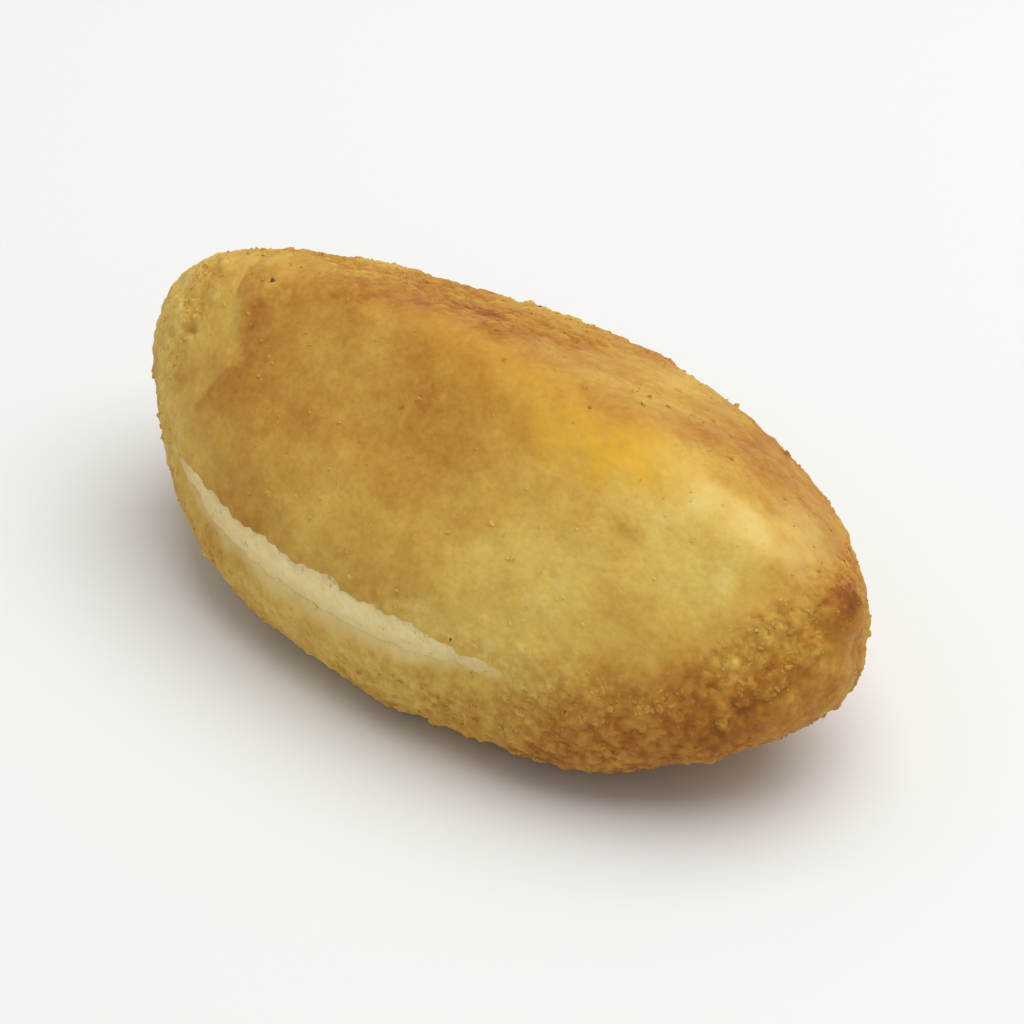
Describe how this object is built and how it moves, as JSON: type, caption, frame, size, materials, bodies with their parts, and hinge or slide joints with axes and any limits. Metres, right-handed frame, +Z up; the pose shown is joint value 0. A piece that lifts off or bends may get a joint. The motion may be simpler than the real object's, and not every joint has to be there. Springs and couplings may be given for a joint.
{
  "type": "egg croquette",
  "caption": "Fried egg croquette: a wedge of hard-boiled egg in a crumbed, browned coating, split along one rim so the egg white shows.",
  "frame": {"origin": "centre of the croquette's bounding box, on the table it lies on", "axes": "+X runs along the croquette to its narrow end, +Y to its back away from the split, +Z up to the crest"},
  "size_m": [0.075, 0.0366, 0.0301],
  "materials": {
    "coating": "soft fried coating with fine browned crumbs and a slight oily sheen",
    "egg_white": "smooth, moist cooked egg white"
  },
  "bodies": {
    "root": {"coating": "coating", "egg_white": "egg_white"}
  },
  "joints": []
}
